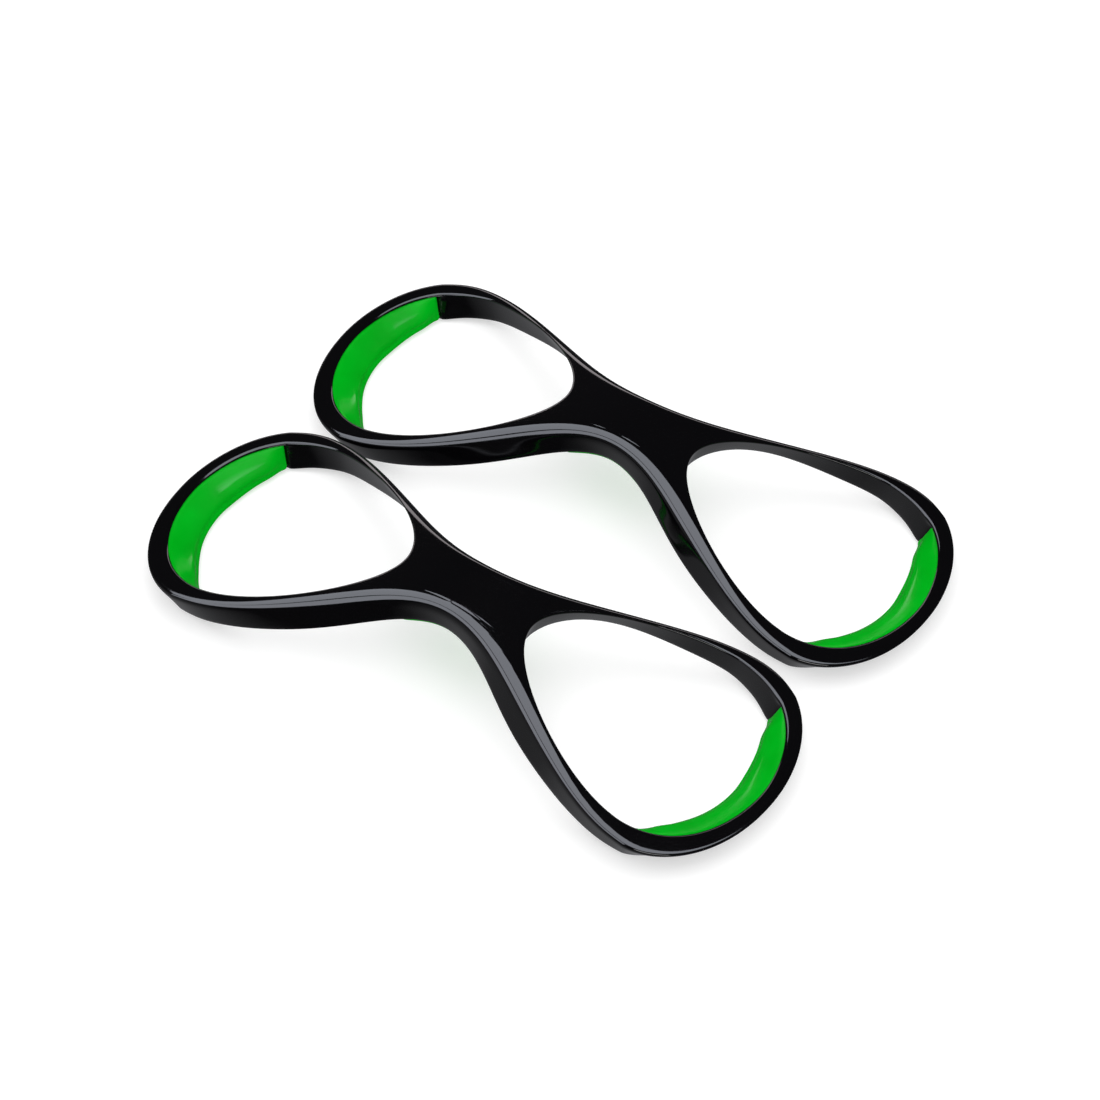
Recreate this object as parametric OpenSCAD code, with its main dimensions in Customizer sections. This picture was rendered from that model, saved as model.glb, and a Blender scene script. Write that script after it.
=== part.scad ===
// A pair of arched two-loop hand grips, lying side by side.
// Each hand is one stiff moulding with a soft grip pad on the inner face of
// each loop end and a soft palm pad under the waist.
// X runs along the hands, Y from the front hand to the rear one, Z up.
// The origin is on the resting surface, midway between the two hands.

/* [Hand] */
// Overall length of one hand
hand_l = 330; // [270:1:400]
// Overall width across a loop
loop_w = 120.8; // [100:0.2:150]
// Width of the waist at its narrowest
waist_w = 34; // [24:0.5:38]
// How far the waist stands above the loop ends
arch_rise = 37.4; // [20:0.2:50]
// How squarely the arch falls away, 2 being bell shaped
arch_power = 1.82; // [1.6:0.02:2.2]
// Length of the flat foot under each loop end
foot_l = 7; // [4:0.5:12]
// Depth cut flat under the loop ends' feet
foot_flat = 3.4; // [1.2:0.1:4]

/* [Loops] */
// Distance from the loop end back to its widest point
crown_back = 42.5; // [35:0.1:55]
// How long the outline stays near the waist width
waist_reach = 47.1; // [30:0.1:55]
// How long the outline stays near the full loop width, waist side
crown_reach = 41.8; // [30:0.1:50]
// How far the full width carries on towards the loop end
crown_run_out = 23.7; // [15:0.1:30]
// Half height of the blunt nose at the loop end
end_blunt = 33.6; // [25:0.1:42]

/* [Loop opening] */
// Distance from the middle of the hand to the opening's tip
web_half_l = 34.7; // [30:0.1:46]
// Rim width at the loop end
rim_end = 7.4; // [5.5:0.1:10]
// Rim width at the loop's widest point
rim_side = 8.8; // [8:0.1:15]
// Distance from the opening's end back to its widest point
opening_crown_back = 43.6; // [36:0.1:50]
// Roundness of the opening's tip next to the web
tip_blunt = 22.7; // [15:0.1:30]
// How long the opening stays near its full width, waist side
opening_reach = 26.3; // [15:0.1:35]
// How far the opening's full width carries on towards its end
opening_run_out = 34.2; // [25:0.1:38]
// How far the opening lies towards the rear side of the hand
opening_shift = 1.3; // [0:0.1:2]
// Half height of the opening's blunt end
opening_blunt = 17; // [14:0.5:28]

/* [Wall] */
// Height of the moulded wall
wall_h = 13.4; // [12:0.1:20]
// Rounding of the outer top edge at the waist
waist_round = 5.2; // [2:0.1:7]
// Rounding of the outer top edge along the arms
arm_round = 3.3; // [2:0.1:6]
// Rounding of the outer top edge at the loop ends
end_round = 3; // [1.5:0.1:4]
// Rounding of the opening's top edge
opening_round = 0.8; // [0.5:0.1:0.9]
// Rounding of the bottom edges
bottom_round = 1.2; // [0.6:0.1:1.6]
// How far the rear side's wall spreads outwards at the foot of the arms
rear_flare = 3.8; // [0:0.1:8]
// How far the front side's wall spreads outwards at the foot of the arms
front_flare = 5.8; // [0:0.1:8]
// How far the walls tuck in at the foot of the loop ends
end_tuck = 13; // [6:0.5:16]
// Share of the outline at which the rear side's wall starts to tuck in
rear_tuck_from = 0.79; // [0.5:0.01:1.1]
// Share of the outline over which the rear side's wall tucks in
rear_tuck_over = 1.1; // [0.4:0.01:1.2]
// Share of the outline at which the front side's wall starts to tuck in
front_tuck_from = 0.7; // [0.5:0.01:1.1]
// Share of the outline over which the front side's wall tucks in
front_tuck_over = 0.78; // [0.4:0.01:1.1]

/* [Pads] */
// Depth of the grip pad's seat in the wall
grip_seat = 2.4; // [1.5:0.1:3]
// How far a grip pad swells out of its seat
grip_swell = 4.5; // [1:0.1:6.5]
// Height of the pad's crest, as a share of its height
grip_crest = 0.4; // [0.3:0.01:0.6]
// Height of the fold above the bead at the pad's foot, as a share of its height
grip_fold = 0.25; // [0.15:0.01:0.35]
// Depth of the fold, as a share of the swelling
fold_depth = 0.2; // [0:0.01:0.3]
// Height of the hard lip above a grip pad
grip_lip = 1.2; // [1:0.1:2.5]
// Share of the rear side, from the widest point to the end, without pad
rear_grip_start = 0.3; // [0.1:0.01:0.4]
// Share of the front side, from the widest point to the end, without pad
front_grip_start = 0.05; // [0.03:0.01:0.4]
// Share of a grip pad's half length over which it swells up
grip_fade = 0.2; // [0.05:0.01:0.5]
// Half length of the palm pad under the waist
palm_half_l = 24; // [18:0.5:34]
// Thickness of the palm pad below the moulding
palm_t = 3.4; // [2:0.1:5]
// Depth of the palm pad's bonded root inside the moulding
palm_root = 0.4; // [0.2:0.1:0.8]
// Margin between the palm pad and the waist's sides
palm_margin = 0.5; // [0.2:0.1:2]

/* [Pair] */
// Gap between the two hands at the loops' widest points
pair_gap = 4.2; // [3:0.1:50]
// How far the rear hand lies to the right of the front one
pair_stagger = 4.8; // [0:0.1:20]
// Angle between the two hands
pair_splay = 1.6; // [0:0.1:2]

/* [Hidden] */
frame_colour = [0.02, 0.02, 0.025];
pad_colour = [0.02, 0.62, 0.08];

// Steps along a loop: across the web, along the arm, up to the pad, along the pad
web_steps = 4;
arm_steps = 15;
shoulder_steps = 2;
pad_steps = 10;
// Share of a segment taken by the seat's end wall
seat_step = 0.02;
// Crowding of the pad's stations towards its ends
pad_crowding = 1.4;
// Share of the opening's first segment that faces the web
web_share = 0.15;
// Bias that keeps the rim's cross lines square to it along the arm
arm_bias = 1.37;
// Steps across the top and the underside
across_steps = 4;

// Height of the loop ends' top before the arch is added, and the arch's spread
end_top = wall_h - foot_flat;
arch_spread = (hand_l / 2 - end_tuck - foot_l) / pow(ln(arch_rise / foot_flat), 1 / arch_power);
pair_pitch = loop_w + pair_gap;

// Values that differ between the two sides of a hand: 0 is its rear side, 1 its front side
flare = [rear_flare, front_flare];
tuck_from = [rear_tuck_from, front_tuck_from];
tuck_over = [rear_tuck_over, front_tuck_over];
grip_start = [rear_grip_start, front_grip_start];

// Corner points of the quarter outlines, each a pair of joined Bezier curves
outer_arm = [[0, waist_w / 2], [waist_reach, waist_w / 2],
    [hand_l / 2 - crown_back - crown_reach, loop_w / 2],
    [hand_l / 2 - crown_back, loop_w / 2]];
outer_nose = [[hand_l / 2 - crown_back, loop_w / 2],
    [hand_l / 2 - crown_back + crown_run_out, loop_w / 2],
    [hand_l / 2, end_blunt], [hand_l / 2, 0]];
opening_end = hand_l / 2 - rim_end;
opening_half_w = loop_w / 2 - rim_side;
inner_arm = [[web_half_l, 0], [web_half_l, tip_blunt],
    [opening_end - opening_crown_back - opening_reach, opening_half_w],
    [opening_end - opening_crown_back, opening_half_w]];
inner_nose = [[opening_end - opening_crown_back, opening_half_w],
    [opening_end - opening_crown_back + opening_run_out, opening_half_w],
    [opening_end, opening_blunt], [opening_end, 0]];

function clamp(v) = min(1, max(0, v));
function ease(v) = let (c = clamp(v)) c * c * (3 - 2 * c);
function bezier(p, t) = (1 - t) * (1 - t) * (1 - t) * p[0]
    + 3 * t * (1 - t) * (1 - t) * p[1] + 3 * t * t * (1 - t) * p[2] + t * t * t * p[3];
function bezier_slope(p, t) = 3 * (1 - t) * (1 - t) * (p[1] - p[0])
    + 6 * t * (1 - t) * (p[2] - p[1]) + 3 * t * t * (p[3] - p[2]);
function left_normal(v) = [-v[1], v[0]] / norm(v);

// A quarter outline runs from s = 0 at the waist through 1 at the widest point to 2
function on_curve(arm, nose, s) = s < 1 ? bezier(arm, s) : bezier(nose, s - 1);
function normal_on(arm, nose, s) =
    left_normal(s < 1 ? bezier_slope(arm, s) : bezier_slope(nose, s - 1));

// Arch: height of the top surface, its fall, and a point b below that surface
function arch(x) = arch_rise * exp(-pow(abs(x) / arch_spread, arch_power));
function top_z(x) = end_top + arch(x);
function top_fall(x) = -sign(x) * arch_power / arch_spread
    * pow(abs(x) / arch_spread, arch_power - 1) * arch(x);
function below(p, b) = let (
        fall = top_fall(p[0]),
        cosine = 1 / sqrt(1 + fall * fall),
        reach = b * min(1, top_z(p[0]) / (wall_h * cosine)))
    [p[0] + reach * fall * cosine, p[1], top_z(p[0]) - reach * cosine];

// Sideways lean of the foot of the wall: outwards on the arms, inwards at the ends
function lean(s, side) = end_tuck * ease((s - tuck_from[side]) / tuck_over[side])
    - flare[side] * pow(sin(180 * clamp(s / 0.85)), 2);

// Rounding of the outer top edge
function top_round(s) = waist_round + (arm_round - waist_round) * ease(s / 0.5)
    + (end_round - arm_round) * ease((s - 0.8) / 0.6);

// Stations of half a loop: [outer s, opening s, share of the way across the web, side]
function half_loop(side) = concat(
    [for (i = [0 : web_steps - 1]) [0, web_share * i / web_steps, i / web_steps, side]],
    [for (i = [0 : arm_steps - 1]) let (t = i / arm_steps)
        [t, web_share + (1 - web_share) * pow(t, arm_bias), 1, side]],
    [for (i = [0 : shoulder_steps])
        let (s = 1 + (grip_start[side] - seat_step) * i / shoulder_steps) [s, s, 1, side]],
    [for (i = [0 : pad_steps])
        let (s = 1 + grip_start[side] + (1 - grip_start[side]) * pad_share(i)) [s, s, 1, side]]);
function pad_share(i) = pow(i / pad_steps, pad_crowding);
half_loops = [half_loop(0), half_loop(1)];
half_n = len(half_loops[0]) - 1;
loop_n = 2 * half_n;

// Section steps, each [distance into the wall, depth below the top]
function outer_section(r) = concat(
    [for (i = [0 : 4]) r * [1 - sin(22.5 * i), 1 - cos(22.5 * i)]],
    [for (i = [1 : 2]) [0, r + (wall_h - r - bottom_round) * i / 3]],
    [for (i = [0 : 2]) [bottom_round * (1 - cos(45 * i)), wall_h - bottom_round * (1 - sin(45 * i))]]);
function inner_section(seat) = concat(
    [for (i = [2 : -1 : 0])
        [seat + bottom_round * (1 - cos(45 * i)), wall_h - bottom_round * (1 - sin(45 * i))]],
    [for (b = seat_depths) [seat, b]],
    [[0, grip_lip]],
    [for (i = [2 : -1 : 0]) opening_round * [1 - sin(45 * i), 1 - cos(45 * i)]]);
// Depths of the seat's wall, from its foot up to the slanted underside of the lip
seat_foot = wall_h - bottom_round;
seat_head = grip_lip + 0.4;
seat_depths = [for (i = [1 : 3]) seat_foot + (seat_head - seat_foot) * i / 3];
outer_n = len(outer_section(0));
inner_n = len(inner_section(0));
section_n = outer_n + inner_n + 2 * (across_steps - 1);

function is_pad(k) = k >= half_n - pad_steps && k <= half_n + pad_steps;
function flip_y(points) = [for (p = points) [p[0], -p[1], p[2]]];
function flip_x(points) = [for (p = points) [-p[0], p[1], p[2]]];

// Plan position of a wall point, a mm in from the outline and b mm down
function outer_plan(station, a, b) = let (s = station[0], across = station[2])
    across < 1
        ? [0, across * (waist_w / 2 - a)]
        : on_curve(outer_arm, outer_nose, s)
            - (a + lean(s, station[3]) * b / wall_h) * normal_on(outer_arm, outer_nose, s);
function inner_plan(station, a, b) = let (s = station[1])
    on_curve(inner_arm, inner_nose, s)
        + (a - lean(s, station[3]) * b / wall_h) * normal_on(inner_arm, inner_nose, s)
        + [0, station[3] == 0 ? opening_shift : -opening_shift];

// Points strictly between two plan positions, at one depth
function across_points(from, to, b) = [for (i = [1 : across_steps - 1])
    below(from + (to - from) * i / across_steps, b)];

// One closed section of the rim, from the outer top edge round to the inner top edge
function rim_section(station, seat) = let (r = top_round(station[0]), inside = inner_section(seat))
    concat(
        [for (p = outer_section(r)) below(outer_plan(station, p[0], p[1]), p[1])],
        across_points(outer_plan(station, bottom_round, wall_h),
            inner_plan(station, seat + bottom_round, wall_h), wall_h),
        [for (p = inside) below(inner_plan(station, p[0], p[1]), p[1])],
        across_points(inner_plan(station, opening_round, 0),
            outer_plan(station, r, 0), 0));

// Section of a grip pad: the seat's wall downwards, then the swollen face upwards
swell_steps = 10;
function roof(up) = up < grip_crest
    ? pow(sin(90 * up / grip_crest), 0.3)
    : 1 - pow((up - grip_crest) / (1 - grip_crest), 1.7);
function swell_share(up) = roof(up) * (1 - fold_depth * exp(-pow((up - grip_fold) / 0.07, 2)));
function grip_section(swell) = concat(
    [[0, grip_lip]],
    [for (i = [2 : -1 : 0]) [grip_seat, seat_depths[i]]],
    [[grip_seat, seat_foot]],
    [for (i = [0 : swell_steps - 1]) let (up = pow(i / swell_steps, 1.5))
        [-swell * swell_share(up), seat_foot + (grip_lip - seat_foot) * up]]);
grip_n = len(grip_section(0));

// Stations run from the web round the rear side to the loop's end and back round the front side
function station_of(k) = k <= half_n ? half_loops[0][k] : half_loops[1][loop_n - k];
function on_side(k, points) = k <= half_n ? points : flip_y(points);
function flatten(lists) = [for (list = lists) each list];

right_points = flatten([for (k = [0 : loop_n - 1])
    on_side(k, rim_section(station_of(k), is_pad(k) ? grip_seat : 0))]);
grip_points = flatten([for (k = [half_n - pad_steps : half_n + pad_steps])
    let (swell = grip_swell * ease(pad_share(pad_steps - abs(k - half_n)) / grip_fade))
    on_side(k, [for (p = grip_section(swell))
        below(inner_plan(station_of(k), p[0], p[1]), p[1])])]);

// Both halves share the points of the section through the middle of the waist
function on_web(k) = k % loop_n <= web_steps || k % loop_n >= loop_n - web_steps;
function rim_index(half, k, j) = let (place = (k % loop_n) * section_n + j % section_n)
    half == 0 || (on_web(k) && j % section_n < outer_n)
        ? place
        : loop_n * section_n + place;
function turned(half, face) = half == 0 ? face : [face[2], face[1], face[0]];
function rim_faces(half) = flatten([for (k = [0 : loop_n - 1], j = [0 : section_n - 1])
    on_web(k) && on_web(k + 1) && j < outer_n - 1 ? [] : [
        turned(half, [rim_index(half, k, j), rim_index(half, k + 1, j + 1),
            rim_index(half, k + 1, j)]),
        turned(half, [rim_index(half, k, j), rim_index(half, k, j + 1),
            rim_index(half, k + 1, j + 1)])]]);

// Stiff moulding of one hand
module frame() {
    color(frame_colour)
        polyhedron(
            points = concat(right_points, flip_x(right_points)),
            faces = concat(rim_faces(0), rim_faces(1)));
}

// Skin of a solid made of equal closed sections of n points, with an end at each
function end_faces(first, n) = [for (j = [0 : n - 3]) let (a = floor(j / 2))
    j % 2 == 0
        ? [first + n - 1 - a, first + a + 1, first + a]
        : [first + n - 1 - a, first + n - 2 - a, first + a + 1]];
function tube_faces(rows, n, half) = concat(
    flatten([for (k = [0 : rows - 2], j = [0 : n - 1]) let (next = (j + 1) % n) [
        turned(half, [k * n + next, (k + 1) * n + j, k * n + j]),
        turned(half, [k * n + next, (k + 1) * n + next, (k + 1) * n + j])]]),
    [for (face = end_faces(0, n)) turned(half, face)],
    [for (face = end_faces((rows - 1) * n, n)) turned(1 - half, face)]);

// Soft pad on the inner face of a loop end, half 0 on the right and 1 on the left
module grip(half) {
    color(pad_colour)
        polyhedron(
            points = half == 0 ? grip_points : flip_x(grip_points),
            faces = tube_faces(2 * pad_steps + 1, grip_n, half));
}

// Share of the outer arm at which it is x mm from the middle
function share_at(x, low = 0, high = 1, tries = 18) = let (mid = (low + high) / 2)
    tries == 0 ? mid
        : bezier(outer_arm, mid)[0] < x ? share_at(x, mid, high, tries - 1)
        : share_at(x, low, mid, tries - 1);

// The palm pad's grid over the underside of the waist
palm_rows = 8;
palm_cols = 5;
palm_share = share_at(palm_half_l);
function palm_plan(i, j) = let (
        station = [palm_share * abs(i) / palm_rows, 0, 1, j < 0 ? 1 : 0],
        edge = outer_plan(station, palm_margin, wall_h))
    [sign(i) * edge[0], edge[1] * j / palm_cols];
function palm_depth(i, j) = palm_t
    * (1 - 0.65 * pow(abs(j) / palm_cols, 4))
    * (1 - 0.7 * ease((abs(i) / palm_rows - 0.8) / 0.2));
palm_points = flatten([for (i = [-palm_rows : palm_rows]) concat(
    [for (j = [-palm_cols : palm_cols]) below(palm_plan(i, j), wall_h - palm_root)],
    [for (j = [palm_cols : -1 : -palm_cols]) below(palm_plan(i, j), wall_h + palm_depth(i, j))])]);

// Soft pad bonded under the waist
module palm_pad() {
    color(pad_colour)
        polyhedron(
            points = palm_points,
            faces = tube_faces(2 * palm_rows + 1, 4 * palm_cols + 2, 0));
}

// Places a hand's piece: side is -1 for the front hand and 1 for the rear one
module placed(side) {
    translate([side * pair_stagger / 2, side * pair_pitch / 2, 0])
        rotate([0, 0, side * pair_splay / 2])
            children();
}

module front_frame() { placed(-1) frame(); }
module front_left_grip() { placed(-1) grip(1); }
module front_right_grip() { placed(-1) grip(0); }
module front_palm_pad() { placed(-1) palm_pad(); }
module rear_frame() { placed(1) frame(); }
module rear_left_grip() { placed(1) grip(1); }
module rear_right_grip() { placed(1) grip(0); }
module rear_palm_pad() { placed(1) palm_pad(); }

front_frame();
front_left_grip();
front_right_grip();
front_palm_pad();
rear_frame();
rear_left_grip();
rear_right_grip();
rear_palm_pad();
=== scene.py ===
# Looks for a pair of arched two-loop hand grips: gloss black mouldings with soft green pads.
# Lengths are in metres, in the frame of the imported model.
# Each piece is a smoothed copy of one CAD node, so the shape comes from the CAD.
from math import cos, pi, radians, sin

import bmesh
import bpy
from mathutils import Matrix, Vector


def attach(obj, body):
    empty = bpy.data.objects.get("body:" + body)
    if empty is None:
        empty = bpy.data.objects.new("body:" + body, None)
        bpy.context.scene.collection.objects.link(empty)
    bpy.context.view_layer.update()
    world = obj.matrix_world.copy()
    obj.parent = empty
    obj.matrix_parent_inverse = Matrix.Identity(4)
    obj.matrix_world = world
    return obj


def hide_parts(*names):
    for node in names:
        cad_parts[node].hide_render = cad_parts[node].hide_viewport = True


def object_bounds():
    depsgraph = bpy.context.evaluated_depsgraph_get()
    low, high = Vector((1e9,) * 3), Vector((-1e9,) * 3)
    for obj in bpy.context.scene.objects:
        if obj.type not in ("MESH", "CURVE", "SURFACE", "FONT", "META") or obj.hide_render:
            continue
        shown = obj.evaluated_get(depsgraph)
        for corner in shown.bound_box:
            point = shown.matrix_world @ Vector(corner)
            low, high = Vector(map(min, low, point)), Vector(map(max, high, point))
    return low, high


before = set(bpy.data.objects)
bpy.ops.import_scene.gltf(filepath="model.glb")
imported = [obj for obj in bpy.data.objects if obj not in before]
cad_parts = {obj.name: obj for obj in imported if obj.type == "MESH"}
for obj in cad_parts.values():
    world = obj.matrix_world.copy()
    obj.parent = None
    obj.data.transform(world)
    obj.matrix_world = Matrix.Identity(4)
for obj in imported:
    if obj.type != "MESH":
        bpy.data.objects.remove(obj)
cad_low, cad_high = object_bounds()

# Camera: its turn round the pair, its height angle, its distance and the point it looks at
CAMERA_TURN = radians(33.61)
CAMERA_HEIGHT = radians(49.31)
CAMERA_DISTANCE = 1.5353
CAMERA_LENS = 112.7
SENSOR_WIDTH = 36.0
NEAREST_SEEN, FARTHEST_SEEN = 0.05, 50.0
AIM_FROM_CENTRE = Vector((0.0184, -0.0271, 0.0023))

# Smoothing: how close points are merged, how flat two triangles must be to become a square,
# and how many times the squares are divided
MERGE_DISTANCE = 2e-6
PAIR_ANGLE = radians(50)
SMOOTH_LEVELS = 2

# Black plastic: the two tints it drifts between, how finely, and its finish
BLACK_TINTS = (0.0011, 0.0010, 0.0014, 1), (0.0020, 0.0018, 0.0024, 1)
BLACK_TINT_SCALE = 22.0
PLASTIC_IOR = 1.5
PLASTIC_FINISH = {
    "Roughness": 0.075, "Gloss Spread": 0.018, "Wave Scale": 55.0, "Wave Height": 0.012,
    "Grain Scale": 1800.0, "Grain Height": 0.01}

# Green rubber: the same, and the heights between which a grip is rubbed shiny, most at its crest
GREEN_TINTS = (0.0, 0.36, 0.008, 1), (0.0, 0.44, 0.012, 1)
GREEN_TINT_SCALE = 48.0
RUBBER_FINISH = {
    "Roughness": 0.2, "Gloss Spread": 0.04, "Wave Scale": 70.0, "Wave Height": 0.02,
    "Grain Scale": 3200.0, "Grain Height": 0.12}
RUBBER_SPECULAR = 0.05
RUBBED_ROUGHNESS = 0.09
RUBBED_MOST = 0.9
CREST_LOW, CREST, CREST_HIGH = 0.002, 0.006, 0.0095

# Depths of the waves and of the grain of a moulded surface at full strength
WAVE_DEPTH = 0.004
GRAIN_DEPTH = 0.0002

# Floor: its size, grey and own brightness
FLOOR_SIZE = 14.0
FLOOR_GREY = (0.5, 0.5, 0.5, 1)
FLOOR_ROUGHNESS = 0.9
FLOOR_GLOW = 0.6

# Surround: its brightness straight down and from a little below level upwards, the heights of a
# direction between which it changes, and a glow on one side with how near to it a direction is
# at its edge and where it is full
SURROUND_COLOUR = (0.95, 0.96, 1.0, 1)
SURROUND_LOW = 0.3
SURROUND_HIGH = 0.035
LOW_ENDS, HIGH_STARTS = -0.95, -0.3
GLOW = 0.3
GLOW_TOWARDS = Vector((-0.77, -0.54, -0.34))
GLOW_EDGE, GLOW_FULL = 0.6, 0.95

# Lights: the tints of some of them, and the point that most of them face
COOL_WHITE = (0.86, 0.9, 1.0)
WARM_WHITE = (1.0, 0.92, 0.95)
MIDDLE = (0, 0, 0)


def new_material(name):
    """A material with an empty Principled shader; returns it with its nodes, links and shader."""
    material = bpy.data.materials.new(name)
    material.use_nodes = True
    nodes = material.node_tree.nodes
    return material, nodes, material.node_tree.links, nodes["Principled BSDF"]


def noise(nodes, links, vector, scale, detail=2.0, roughness=0.5):
    """A noise texture read at a vector."""
    texture = nodes.new("ShaderNodeTexNoise")
    texture.inputs["Scale"].default_value = scale
    texture.inputs["Detail"].default_value = detail
    texture.inputs["Roughness"].default_value = roughness
    links.new(vector, texture.inputs["Vector"])
    return texture.outputs["Fac"]


def ramp(nodes, links, factor, low, high, value_low, value_high):
    """Maps a factor between low and high to a value between value_low and value_high."""
    node = nodes.new("ShaderNodeMapRange")
    node.inputs["From Min"].default_value = low
    node.inputs["From Max"].default_value = high
    node.inputs["To Min"].default_value = value_low
    node.inputs["To Max"].default_value = value_high
    links.new(factor, node.inputs["Value"])
    return node.outputs["Result"]


def two_tints(nodes, links, shader, factor, tints):
    """Drifts a material's colour between two tints."""
    mix = nodes.new("ShaderNodeMix")
    mix.data_type = "RGBA"
    mix.inputs["A"].default_value, mix.inputs["B"].default_value = tints
    links.new(factor, mix.inputs["Factor"])
    links.new(mix.outputs["Result"], shader.inputs["Base Color"])


def moulded_finish_group():
    """Shared finish of moulded plastic and rubber: uneven gloss, slight waves and a fine grain."""
    group = bpy.data.node_groups.new("moulded_finish", "ShaderNodeTree")
    for name, value in PLASTIC_FINISH.items():
        socket = group.interface.new_socket(name, in_out="INPUT", socket_type="NodeSocketFloat")
        socket.default_value = value
    group.interface.new_socket("Roughness", in_out="OUTPUT", socket_type="NodeSocketFloat")
    group.interface.new_socket("Normal", in_out="OUTPUT", socket_type="NodeSocketVector")
    nodes, links = group.nodes, group.links
    inputs = nodes.new("NodeGroupInput")
    outputs = nodes.new("NodeGroupOutput")
    place = nodes.new("ShaderNodeTexCoord").outputs["Object"]

    handled = noise(nodes, links, place, scale=35.0, detail=4.0, roughness=0.6)
    duller = ramp(nodes, links, handled, low=0.35, high=0.7, value_low=-1.0, value_high=1.0)
    spread = nodes.new("ShaderNodeMath")
    spread.operation = "MULTIPLY_ADD"
    links.new(duller, spread.inputs[0])
    links.new(inputs.outputs["Gloss Spread"], spread.inputs[1])
    links.new(inputs.outputs["Roughness"], spread.inputs[2])
    links.new(spread.outputs[0], outputs.inputs["Roughness"])

    normal = None
    for scale, height, depth in (("Wave Scale", "Wave Height", WAVE_DEPTH),
                                 ("Grain Scale", "Grain Height", GRAIN_DEPTH)):
        texture = nodes.new("ShaderNodeTexNoise")
        texture.inputs["Detail"].default_value = 1.0
        links.new(place, texture.inputs["Vector"])
        links.new(inputs.outputs[scale], texture.inputs["Scale"])
        bump = nodes.new("ShaderNodeBump")
        bump.inputs["Distance"].default_value = depth
        links.new(inputs.outputs[height], bump.inputs["Strength"])
        links.new(texture.outputs["Fac"], bump.inputs["Height"])
        if normal is not None:
            links.new(normal, bump.inputs["Normal"])
        normal = bump.outputs["Normal"]
    links.new(normal, outputs.inputs["Normal"])
    return group


def finish(nodes, links, shader, group, values):
    """Places the shared finish in a material and feeds its shader."""
    node = nodes.new("ShaderNodeGroup")
    node.node_tree = group
    for name, value in values.items():
        node.inputs[name].default_value = value
    links.new(node.outputs["Roughness"], shader.inputs["Roughness"])
    links.new(node.outputs["Normal"], shader.inputs["Normal"])


def gloss_black(group):
    """Polished black moulding."""
    material, nodes, links, shader = new_material("gloss_black_moulding")
    place = nodes.new("ShaderNodeTexCoord").outputs["Object"]
    patches = noise(nodes, links, place, BLACK_TINT_SCALE, detail=3.0)
    two_tints(nodes, links, shader, patches, BLACK_TINTS)
    shader.inputs["IOR"].default_value = PLASTIC_IOR
    finish(nodes, links, shader, group, PLASTIC_FINISH)
    return material


def green_rubber(group):
    """Satin soft-touch rubber, uneven in tint and rubbed shiny along the crest of a grip."""
    material, nodes, links, shader = new_material("green_soft_rubber")
    place = nodes.new("ShaderNodeTexCoord").outputs["Object"]
    patches = noise(nodes, links, place, GREEN_TINT_SCALE, detail=3.0)
    clearer_patches = ramp(nodes, links, patches, low=0.3, high=0.7, value_low=0.0, value_high=1.0)
    two_tints(nodes, links, shader, clearer_patches, GREEN_TINTS)
    shader.inputs["Specular IOR Level"].default_value = RUBBER_SPECULAR
    shader.inputs["Coat Roughness"].default_value = RUBBED_ROUGHNESS
    height = nodes.new("ShaderNodeSeparateXYZ")
    links.new(place, height.inputs[0])
    below_crest = ramp(nodes, links, height.outputs["Z"], CREST_LOW, CREST, 0.0, RUBBED_MOST)
    above_crest = ramp(nodes, links, height.outputs["Z"], CREST, CREST_HIGH, 1.0, 0.0)
    rubbed = nodes.new("ShaderNodeMath")
    rubbed.operation = "MULTIPLY"
    links.new(below_crest, rubbed.inputs[0])
    links.new(above_crest, rubbed.inputs[1])
    links.new(rubbed.outputs[0], shader.inputs["Coat Weight"])
    finish(nodes, links, shader, group, RUBBER_FINISH)
    return material


def smooth_piece(name, node, body, material):
    """A finely smoothed copy of a CAD node's solid, which it stands for."""
    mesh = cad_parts[node].data.copy()
    mesh.name = name
    shape = bmesh.new()
    shape.from_mesh(mesh)
    bmesh.ops.remove_doubles(shape, verts=shape.verts, dist=MERGE_DISTANCE)
    bmesh.ops.dissolve_degenerate(shape, edges=shape.edges, dist=MERGE_DISTANCE)
    bmesh.ops.join_triangles(shape, faces=shape.faces, cmp_seam=False, cmp_sharp=False,
                             cmp_uvs=False, cmp_vcols=False, cmp_materials=False,
                             angle_face_threshold=PAIR_ANGLE, angle_shape_threshold=PAIR_ANGLE)
    for face in shape.faces:
        face.smooth = True
    shape.to_mesh(mesh)
    shape.free()
    mesh.materials.clear()
    mesh.materials.append(material)
    piece = bpy.data.objects.new(name, mesh)
    bpy.context.collection.objects.link(piece)
    smoothing = piece.modifiers.new("smoothing", "SUBSURF")
    smoothing.levels = SMOOTH_LEVELS
    smoothing.render_levels = SMOOTH_LEVELS
    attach(piece, body)
    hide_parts(node)


def hand(which, black, green):
    """The pieces of one hand: its moulding, a pad in each loop and the pad under its waist."""
    body = which + "_hand"
    smooth_piece(which + "_moulding", which + "_frame", body, black)
    for part in ("left_grip", "right_grip", "palm_pad"):
        smooth_piece(f"{which}_{part}_skin", f"{which}_{part}", body, green)


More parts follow.
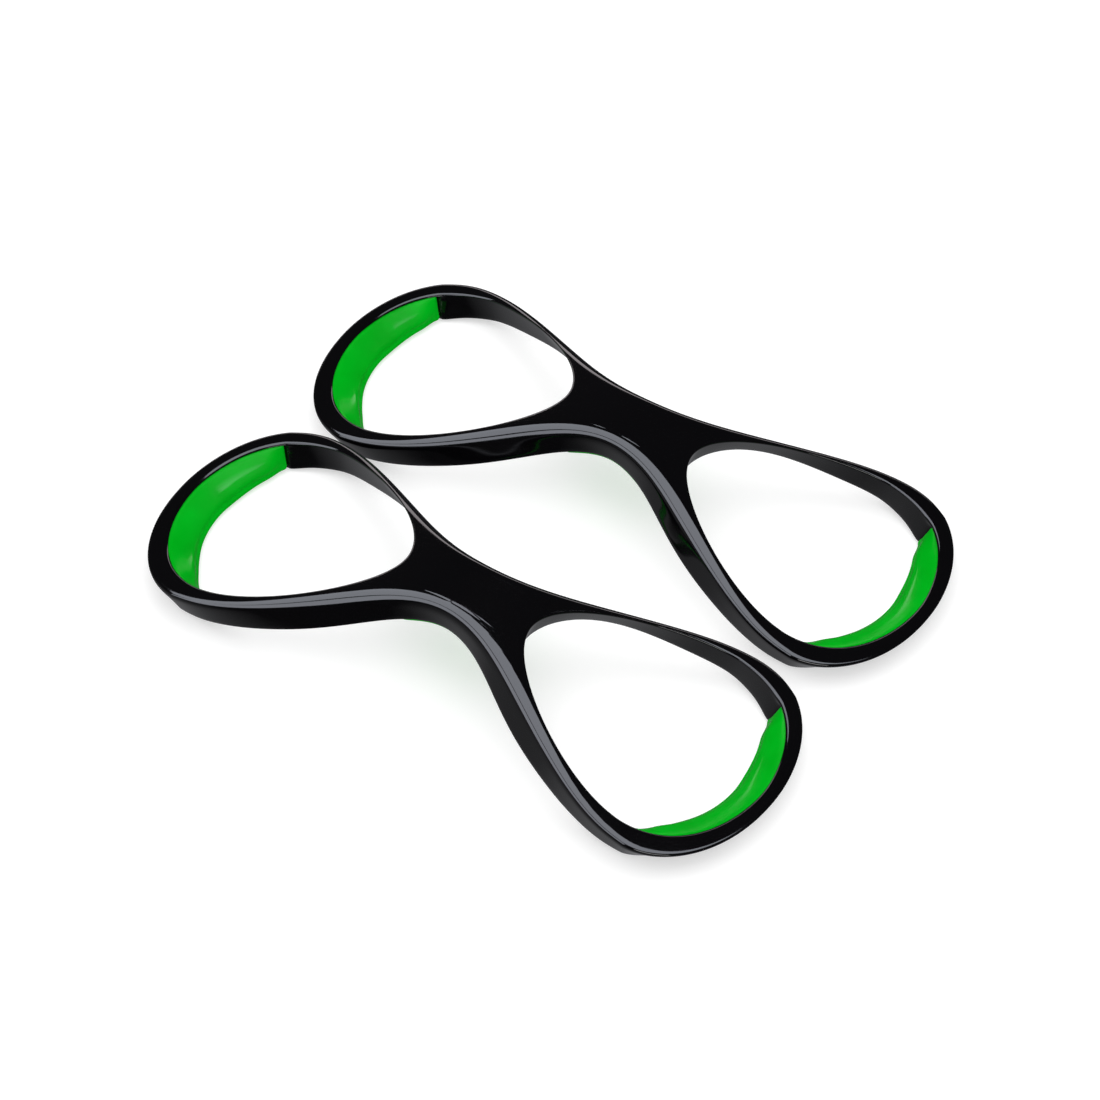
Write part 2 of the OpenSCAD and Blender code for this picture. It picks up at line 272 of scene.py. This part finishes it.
def floor():
    """Wide pale floor under the pair."""
    shape = bmesh.new()
    bmesh.ops.create_grid(shape, x_segments=1, y_segments=1, size=FLOOR_SIZE / 2)
    mesh = bpy.data.meshes.new("floor")
    shape.to_mesh(mesh)
    shape.free()
    material, _, _, shader = new_material("pale_floor")
    shader.inputs["Base Color"].default_value = FLOOR_GREY
    shader.inputs["Roughness"].default_value = FLOOR_ROUGHNESS
    shader.inputs["Specular IOR Level"].default_value = 0.0
    shader.inputs["Emission Color"].default_value = (1, 1, 1, 1)
    shader.inputs["Emission Strength"].default_value = FLOOR_GLOW
    mesh.materials.append(material)
    piece = bpy.data.objects.new("floor", mesh)
    piece.location = (0, 0, cad_low.z)
    bpy.context.collection.objects.link(piece)
    piece.visible_glossy = False


def away(turn, height, distance):
    """A point at a distance from the middle, at a turn round it and an angle above the floor."""
    return Vector((sin(turn) * cos(height), -cos(turn) * cos(height), sin(height))) * distance


def soft_light(name, place, aim, size, radiance, colour=(1, 1, 1), mirrored=True, lights_matt=True):
    """A rectangular studio light that shows in gloss, lights matt surfaces, or does both."""
    data = bpy.data.lights.new(name, "AREA")
    data.shape = "RECTANGLE"
    data.size, data.size_y = size
    data.energy = radiance * pi * size[0] * size[1]
    data.color = colour
    light = bpy.data.objects.new(name, data)
    light.location = place
    light.rotation_euler = (Vector(aim) - Vector(place)).to_track_quat("-Z", "Y").to_euler()
    light.visible_glossy = mirrored
    light.visible_diffuse = lights_matt
    bpy.context.collection.objects.link(light)


def camera():
    """Camera at the viewing angle of the pair."""
    data = bpy.data.cameras.new("camera")
    data.lens = CAMERA_LENS
    data.sensor_width = SENSOR_WIDTH
    data.clip_start, data.clip_end = NEAREST_SEEN, FARTHEST_SEEN
    view = bpy.data.objects.new("camera", data)
    centre = (cad_low + cad_high) / 2
    aim = Vector((centre.x, centre.y, cad_high.z)) + AIM_FROM_CENTRE
    back = away(CAMERA_TURN, CAMERA_HEIGHT, CAMERA_DISTANCE)
    view.location = aim + back
    view.rotation_euler = (-back).to_track_quat("-Z", "Y").to_euler()
    bpy.context.collection.objects.link(view)
    bpy.context.scene.camera = view


def surround():
    """Dim surround, paler straight down and with a glow low on one side."""
    world = bpy.data.worlds.new("studio")
    world.use_nodes = True
    nodes, links = world.node_tree.nodes, world.node_tree.links
    direction = nodes.new("ShaderNodeTexCoord").outputs["Generated"]
    height = nodes.new("ShaderNodeSeparateXYZ")
    links.new(direction, height.inputs[0])
    base = ramp(nodes, links, height.outputs["Z"], LOW_ENDS, HIGH_STARTS,
                SURROUND_LOW, SURROUND_HIGH)
    nearness = nodes.new("ShaderNodeVectorMath")
    nearness.operation = "DOT_PRODUCT"
    links.new(direction, nearness.inputs[0])
    nearness.inputs[1].default_value = GLOW_TOWARDS
    glow = ramp(nodes, links, nearness.outputs["Value"], GLOW_EDGE, GLOW_FULL, 0.0, GLOW)
    total = nodes.new("ShaderNodeMath")
    total.operation = "ADD"
    links.new(base, total.inputs[0])
    links.new(glow, total.inputs[1])
    links.new(total.outputs[0], nodes["Background"].inputs["Strength"])
    nodes["Background"].inputs["Color"].default_value = SURROUND_COLOUR
    bpy.context.scene.world = world


def studio():
    """A wide soft light overhead and lights that only show in the gloss."""
    bpy.context.scene.view_settings.view_transform = "Standard"
    soft_light("overhead", place=(0, 0, 2.2), aim=MIDDLE, size=(4.0, 4.0), radiance=2.1,
               mirrored=False)
    soft_light("edge_panel", place=(-0.52, -0.25, 1.5), aim=(-0.52, -0.25, 0), size=(2.2, 1.7),
               radiance=4.6, colour=COOL_WHITE, lights_matt=False)
    soft_light("front_panel", place=(-0.62, -1.42, 1.0), aim=MIDDLE, size=(1.5, 0.8),
               radiance=4.6, colour=COOL_WHITE, lights_matt=False)
    soft_light("corner_strip", place=(0.95, -1.52, 0.57), aim=MIDDLE, size=(1.1, 0.5),
               radiance=7.0, lights_matt=False)
    soft_light("back_strip", place=away(CAMERA_TURN + pi, radians(15), 2.2), aim=MIDDLE,
               size=(3.0, 0.35), radiance=2.6, colour=WARM_WHITE, lights_matt=False)


camera()
surface = moulded_finish_group()
black_plastic = gloss_black(surface)
green_soft = green_rubber(surface)
for side in ("front", "rear"):
    hand(side, black_plastic, green_soft)
floor()
surround()
studio()
